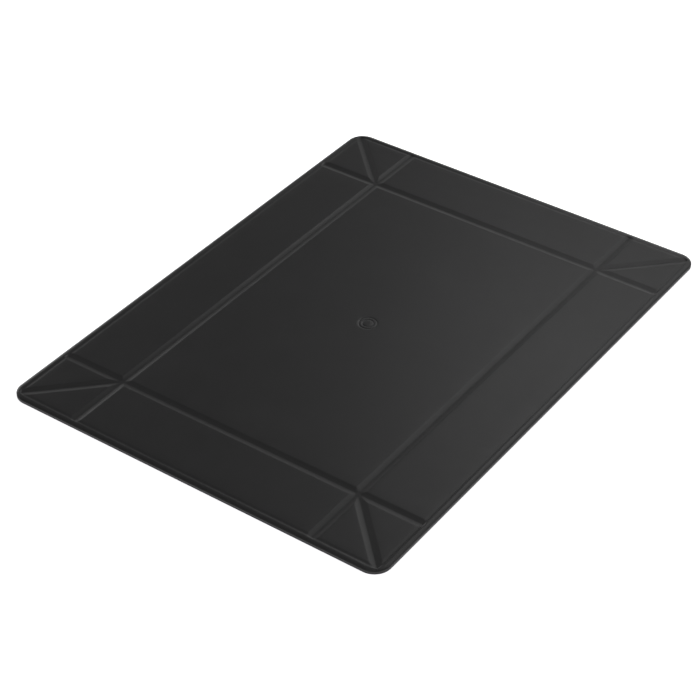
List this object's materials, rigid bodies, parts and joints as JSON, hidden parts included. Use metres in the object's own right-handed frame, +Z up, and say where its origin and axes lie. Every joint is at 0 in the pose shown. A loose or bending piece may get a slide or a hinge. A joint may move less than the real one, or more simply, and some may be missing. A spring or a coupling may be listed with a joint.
{
  "type": "fold-flat magnetic tray mat",
  "caption": "Flat rectangular mat with creased, hinged walls and triangular corner gussets that pinch together on magnets to make a shallow tray.",
  "frame": {"origin": "centre of the underside, on the surface that the flat mat lies on", "axes": "+X along the long side, +Y along the short side towards the back wall, +Z up out of the top face"},
  "size_m": [0.36, 0.268, 0.003],
  "materials": {
    "top_leatherette": "fine-grained matt satin",
    "crease_web": "fine-grained matt satin, pressed flat in the crease",
    "outer_microfibre": "short-napped microfibre",
    "stiffener_board": "raw greyboard",
    "magnet_metal": "nickel plate"
  },
  "bodies": {
    "base": {"base_cover": "outer_microfibre", "base_board": "stiffener_board", "base_lining": "top_leatherette"},
    "front_wall": {"front_wall_cover": "outer_microfibre", "front_wall_board": "stiffener_board", "front_wall_lining": "top_leatherette"},
    "back_wall": {"back_wall_cover": "outer_microfibre", "back_wall_board": "stiffener_board", "back_wall_lining": "top_leatherette"},
    "left_wall": {"left_wall_cover": "outer_microfibre", "left_wall_board": "stiffener_board", "left_wall_lining": "top_leatherette"},
    "right_wall": {"right_wall_cover": "outer_microfibre", "right_wall_board": "stiffener_board", "right_wall_lining": "top_leatherette"},
    "front_wall_left_gusset": {"front_wall_left_gusset_cover": "outer_microfibre", "front_wall_left_gusset_board": "stiffener_board", "front_wall_left_gusset_lining": "top_leatherette", "front_wall_left_gusset_magnet": "magnet_metal"},
    "front_wall_left_gusset_web": {"front_wall_left_gusset_web": "crease_web"},
    "front_wall_right_gusset": {"front_wall_right_gusset_cover": "outer_microfibre", "front_wall_right_gusset_board": "stiffener_board", "front_wall_right_gusset_lining": "top_leatherette", "front_wall_right_gusset_magnet": "magnet_metal"},
    "front_wall_right_gusset_web": {"front_wall_right_gusset_web": "crease_web"},
    "back_wall_left_gusset": {"back_wall_left_gusset_cover": "outer_microfibre", "back_wall_left_gusset_board": "stiffener_board", "back_wall_left_gusset_lining": "top_leatherette", "back_wall_left_gusset_magnet": "magnet_metal"},
    "back_wall_left_gusset_web": {"back_wall_left_gusset_web": "crease_web"},
    "back_wall_right_gusset": {"back_wall_right_gusset_cover": "outer_microfibre", "back_wall_right_gusset_board": "stiffener_board", "back_wall_right_gusset_lining": "top_leatherette", "back_wall_right_gusset_magnet": "magnet_metal"},
    "back_wall_right_gusset_web": {"back_wall_right_gusset_web": "crease_web"},
    "left_wall_front_gusset": {"left_wall_front_gusset_cover": "outer_microfibre", "left_wall_front_gusset_board": "stiffener_board", "left_wall_front_gusset_lining": "top_leatherette", "left_wall_front_gusset_magnet": "magnet_metal"},
    "left_wall_front_gusset_web": {"left_wall_front_gusset_web": "crease_web"},
    "left_wall_back_gusset": {"left_wall_back_gusset_cover": "outer_microfibre", "left_wall_back_gusset_board": "stiffener_board", "left_wall_back_gusset_lining": "top_leatherette", "left_wall_back_gusset_magnet": "magnet_metal"},
    "left_wall_back_gusset_web": {"left_wall_back_gusset_web": "crease_web"},
    "right_wall_front_gusset": {"right_wall_front_gusset_cover": "outer_microfibre", "right_wall_front_gusset_board": "stiffener_board", "right_wall_front_gusset_lining": "top_leatherette", "right_wall_front_gusset_magnet": "magnet_metal"},
    "right_wall_front_gusset_web": {"right_wall_front_gusset_web": "crease_web"},
    "right_wall_back_gusset": {"right_wall_back_gusset_cover": "outer_microfibre", "right_wall_back_gusset_board": "stiffener_board", "right_wall_back_gusset_lining": "top_leatherette", "right_wall_back_gusset_magnet": "magnet_metal"},
    "right_wall_back_gusset_web": {"right_wall_back_gusset_web": "crease_web"}
  },
  "joints": [
    {"name": "front_wall_fold", "type": "hinge", "parent": "base", "child": "front_wall", "pos_m": [0, -0.086, 0.00315], "axis": [-1, 0, 0], "range_deg": [0, 90]},
    {"name": "back_wall_fold", "type": "hinge", "parent": "base", "child": "back_wall", "pos_m": [0, 0.086, 0.00315], "axis": [1, 0, 0], "range_deg": [0, 90]},
    {"name": "left_wall_fold", "type": "hinge", "parent": "base", "child": "left_wall", "pos_m": [-0.132, 0, 0.00315], "axis": [0, 1, 0], "range_deg": [0, 90]},
    {"name": "right_wall_fold", "type": "hinge", "parent": "base", "child": "right_wall", "pos_m": [0.132, 0, 0.00315], "axis": [0, -1, 0], "range_deg": [0, 90]},
    {"name": "front_wall_left_gusset_fold", "type": "hinge", "parent": "front_wall", "child": "front_wall_left_gusset", "pos_m": [-0.132, -0.086, 0.00315], "axis": [0, -1, 0], "range_deg": [0, 45]},
    {"name": "front_wall_left_gusset_web_fold", "type": "hinge", "parent": "front_wall_left_gusset", "child": "front_wall_left_gusset_web", "pos_m": [-0.132, -0.086, 0.00315], "axis": [0.7071, 0.7071, 0], "range_deg": [0, 90]},
    {"name": "front_wall_right_gusset_fold", "type": "hinge", "parent": "front_wall", "child": "front_wall_right_gusset", "pos_m": [0.132, -0.086, 0.00315], "axis": [0, 1, 0], "range_deg": [0, 45]},
    {"name": "front_wall_right_gusset_web_fold", "type": "hinge", "parent": "front_wall_right_gusset", "child": "front_wall_right_gusset_web", "pos_m": [0.132, -0.086, 0.00315], "axis": [0.7071, -0.7071, 0], "range_deg": [0, 90]},
    {"name": "back_wall_left_gusset_fold", "type": "hinge", "parent": "back_wall", "child": "back_wall_left_gusset", "pos_m": [-0.132, 0.086, 0.00315], "axis": [0, -1, 0], "range_deg": [0, 45]},
    {"name": "back_wall_left_gusset_web_fold", "type": "hinge", "parent": "back_wall_left_gusset", "child": "back_wall_left_gusset_web", "pos_m": [-0.132, 0.086, 0.00315], "axis": [-0.7071, 0.7071, 0], "range_deg": [0, 90]},
    {"name": "back_wall_right_gusset_fold", "type": "hinge", "parent": "back_wall", "child": "back_wall_right_gusset", "pos_m": [0.132, 0.086, 0.00315], "axis": [0, 1, 0], "range_deg": [0, 45]},
    {"name": "back_wall_right_gusset_web_fold", "type": "hinge", "parent": "back_wall_right_gusset", "child": "back_wall_right_gusset_web", "pos_m": [0.132, 0.086, 0.00315], "axis": [-0.7071, -0.7071, 0], "range_deg": [0, 90]},
    {"name": "left_wall_front_gusset_fold", "type": "hinge", "parent": "left_wall", "child": "left_wall_front_gusset", "pos_m": [-0.132, -0.086, 0.00315], "axis": [1, 0, 0], "range_deg": [0, 45]},
    {"name": "left_wall_front_gusset_web_fold", "type": "hinge", "parent": "left_wall_front_gusset", "child": "left_wall_front_gusset_web", "pos_m": [-0.132, -0.086, 0.00315], "axis": [-0.7071, -0.7071, 0], "range_deg": [0, 90]},
    {"name": "left_wall_back_gusset_fold", "type": "hinge", "parent": "left_wall", "child": "left_wall_back_gusset", "pos_m": [-0.132, 0.086, 0.00315], "axis": [-1, 0, 0], "range_deg": [0, 45]},
    {"name": "left_wall_back_gusset_web_fold", "type": "hinge", "parent": "left_wall_back_gusset", "child": "left_wall_back_gusset_web", "pos_m": [-0.132, 0.086, 0.00315], "axis": [0.7071, -0.7071, 0], "range_deg": [0, 90]},
    {"name": "right_wall_front_gusset_fold", "type": "hinge", "parent": "right_wall", "child": "right_wall_front_gusset", "pos_m": [0.132, -0.086, 0.00315], "axis": [1, 0, 0], "range_deg": [0, 45]},
    {"name": "right_wall_front_gusset_web_fold", "type": "hinge", "parent": "right_wall_front_gusset", "child": "right_wall_front_gusset_web", "pos_m": [0.132, -0.086, 0.00315], "axis": [-0.7071, 0.7071, 0], "range_deg": [0, 90]},
    {"name": "right_wall_back_gusset_fold", "type": "hinge", "parent": "right_wall", "child": "right_wall_back_gusset", "pos_m": [0.132, 0.086, 0.00315], "axis": [-1, 0, 0], "range_deg": [0, 45]},
    {"name": "right_wall_back_gusset_web_fold", "type": "hinge", "parent": "right_wall_back_gusset", "child": "right_wall_back_gusset_web", "pos_m": [0.132, 0.086, 0.00315], "axis": [0.7071, 0.7071, 0], "range_deg": [0, 90]}
  ],
  "couplings": [
    {"joint": "back_wall_fold", "follows": "front_wall_fold", "ratio": 1},
    {"joint": "left_wall_fold", "follows": "front_wall_fold", "ratio": 1},
    {"joint": "right_wall_fold", "follows": "front_wall_fold", "ratio": 1},
    {"joint": "front_wall_left_gusset_fold", "follows": "front_wall_fold", "ratio": 0.5},
    {"joint": "front_wall_left_gusset_web_fold", "follows": "front_wall_fold", "ratio": 1},
    {"joint": "front_wall_right_gusset_fold", "follows": "front_wall_fold", "ratio": 0.5},
    {"joint": "front_wall_right_gusset_web_fold", "follows": "front_wall_fold", "ratio": 1},
    {"joint": "back_wall_left_gusset_fold", "follows": "front_wall_fold", "ratio": 0.5},
    {"joint": "back_wall_left_gusset_web_fold", "follows": "front_wall_fold", "ratio": 1},
    {"joint": "back_wall_right_gusset_fold", "follows": "front_wall_fold", "ratio": 0.5},
    {"joint": "back_wall_right_gusset_web_fold", "follows": "front_wall_fold", "ratio": 1},
    {"joint": "left_wall_front_gusset_fold", "follows": "front_wall_fold", "ratio": 0.5},
    {"joint": "left_wall_front_gusset_web_fold", "follows": "front_wall_fold", "ratio": 1},
    {"joint": "left_wall_back_gusset_fold", "follows": "front_wall_fold", "ratio": 0.5},
    {"joint": "left_wall_back_gusset_web_fold", "follows": "front_wall_fold", "ratio": 1},
    {"joint": "right_wall_front_gusset_fold", "follows": "front_wall_fold", "ratio": 0.5},
    {"joint": "right_wall_front_gusset_web_fold", "follows": "front_wall_fold", "ratio": 1},
    {"joint": "right_wall_back_gusset_fold", "follows": "front_wall_fold", "ratio": 0.5},
    {"joint": "right_wall_back_gusset_web_fold", "follows": "front_wall_fold", "ratio": 1}
  ]
}
